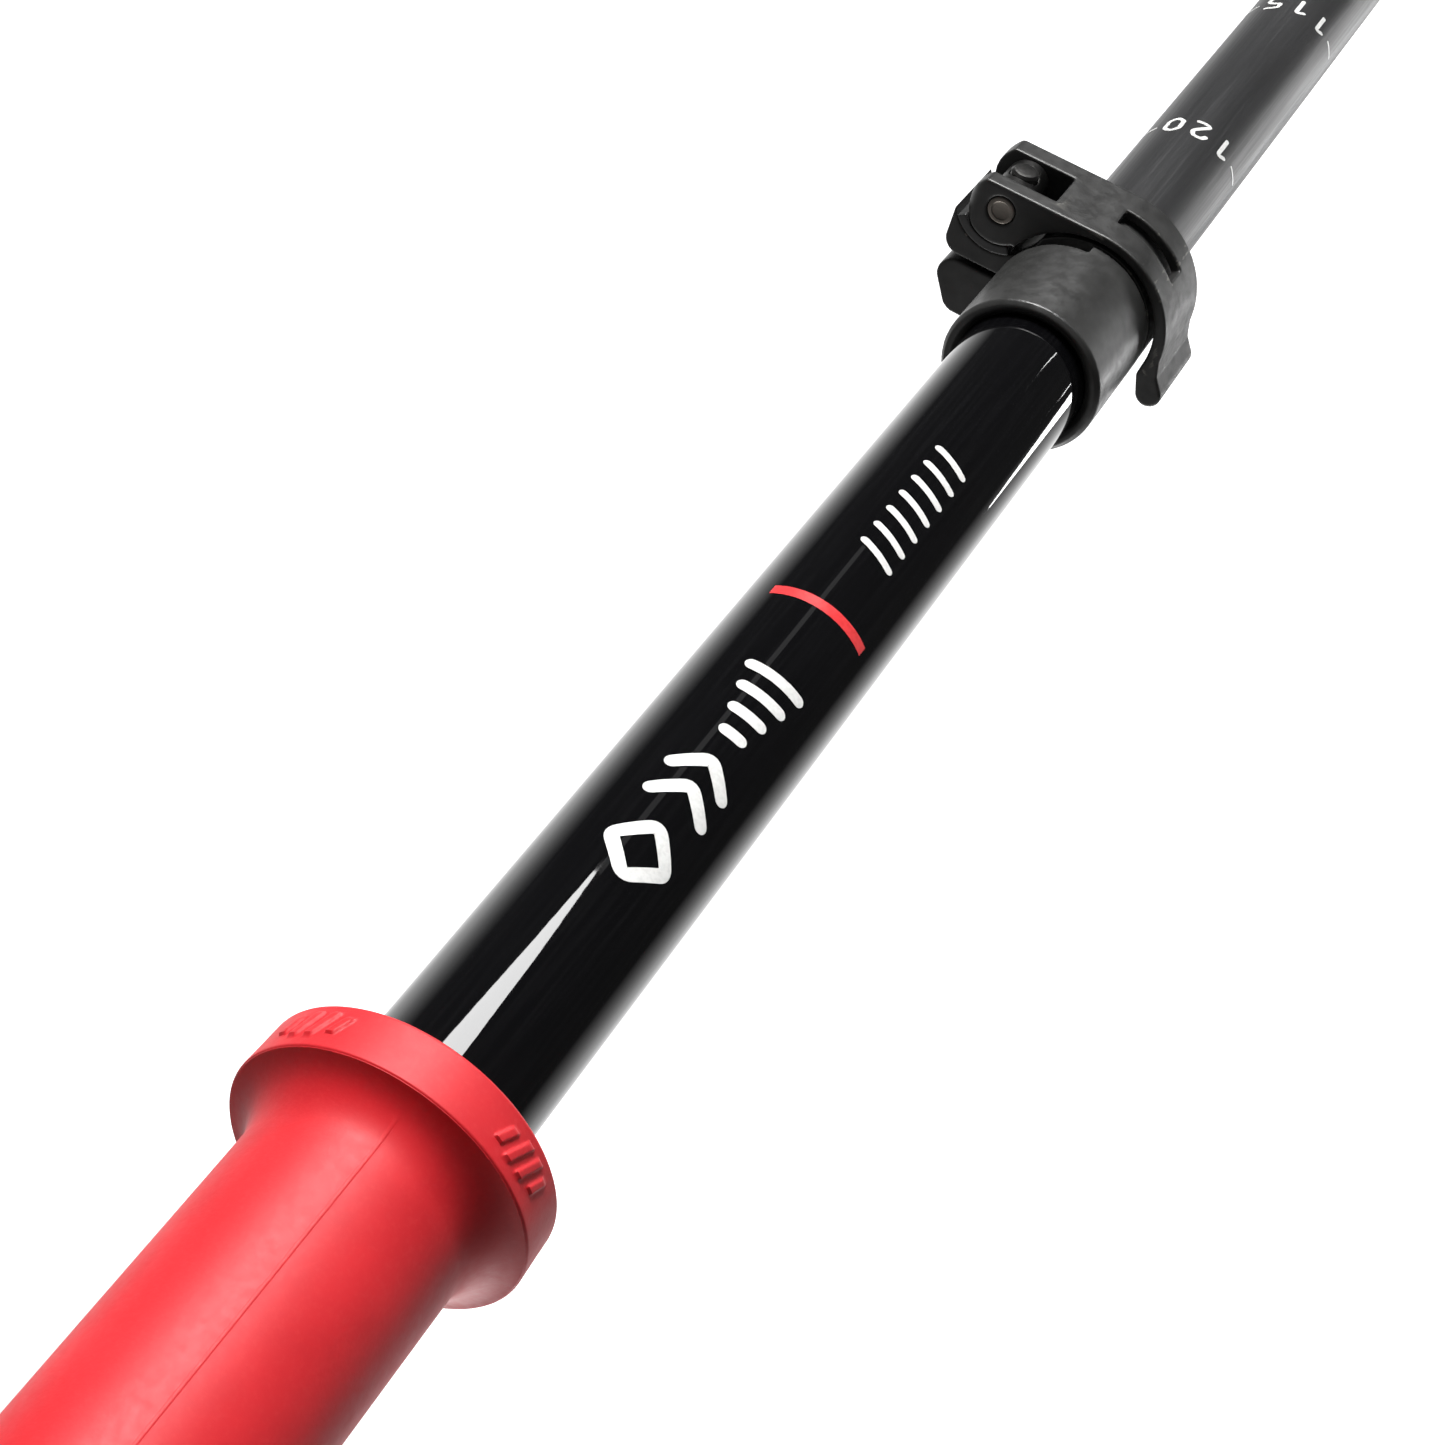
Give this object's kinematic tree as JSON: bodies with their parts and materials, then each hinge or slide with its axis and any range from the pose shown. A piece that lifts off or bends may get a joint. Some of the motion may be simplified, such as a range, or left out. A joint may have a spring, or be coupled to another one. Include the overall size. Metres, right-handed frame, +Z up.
{
  "type": "ski pole",
  "caption": "Telescopic ski touring pole with a long flanged rubber grip, lever clamp on two tubes, wrist strap, snow basket and hard tip.",
  "frame": {"origin": "the point of the tip, on the pole's axis", "axes": "+Z up the pole towards the grip; -X towards the clamp lever's hinge pin; +X towards the wrist strap; +Y right-handed"},
  "size_m": [0.104, 0.104, 1.231],
  "materials": {
    "carbon": "clear gloss over black carbon",
    "grip_rubber": "matt moulded rubber",
    "black_plastic": "fine moulded grain",
    "clamp_plastic": "satin dark grey, moulded",
    "clamp_metal": "dark anodised",
    "dark_tube": "matt dark grey coating",
    "steel": "plated, satin",
    "dark_steel": "blackened, satin",
    "seat_plastic": "dark grey, smooth",
    "carbide": "ground",
    "webbing": "woven nylon",
    "pad": "brushed lining"
  },
  "bodies": {
    "upper_section": {"upper_shaft": "carbon", "lower_grip": "grip_rubber", "handle_core": "black_plastic", "handle_rubber": "grip_rubber", "handle_cap": "black_plastic", "cap_screw": "steel", "strap_webbing": "webbing", "strap_pad": "pad", "strap_keeper": "black_plastic", "clamp_collar": "clamp_plastic", "clamp_band": "clamp_metal", "cam_seat": "seat_plastic", "screw_washer": "steel"},
    "lower_section": {"lower_shaft": "dark_tube", "guide_plug": "black_plastic", "tip_ferrule": "black_plastic", "basket": "black_plastic", "tip_holder": "steel", "carbide_tip": "carbide"},
    "screw": {"tension_screw": "dark_steel"},
    "nut_carriage": {"barrel_nut": "dark_steel", "hinge_pins": "steel"},
    "lever": {"clamp_lever": "clamp_metal"},
    "wedge": {"strap_wedge": "black_plastic"}
  },
  "joints": [
    {"name": "length_slide", "type": "slide", "parent": "upper_section", "child": "lower_section", "axis": [0, 0, -1], "range_m": [-0.181, 0.119]},
    {"name": "tension_turn", "type": "hinge", "parent": "upper_section", "child": "screw", "pos_m": [-0.0141, 0, 0.6841], "axis": [0, 1, 0], "range_deg": [0, 720]},
    {"name": "nut_travel", "type": "slide", "parent": "upper_section", "child": "nut_carriage", "axis": [0, 1, 0], "range_m": [0, 0.0014]},
    {"name": "lever_hinge", "type": "hinge", "parent": "nut_carriage", "child": "lever", "pos_m": [-0.0141, 0.0095, 0.6841], "axis": [0, 0, 1], "range_deg": [0, 140]},
    {"name": "wedge_slide", "type": "slide", "parent": "upper_section", "child": "wedge", "axis": [0, 0, 1], "range_m": [0, 0.008]}
  ],
  "couplings": [
    {"joint": "tension_turn", "follows": "nut_travel", "rad_per_m": 8975.9}
  ]
}
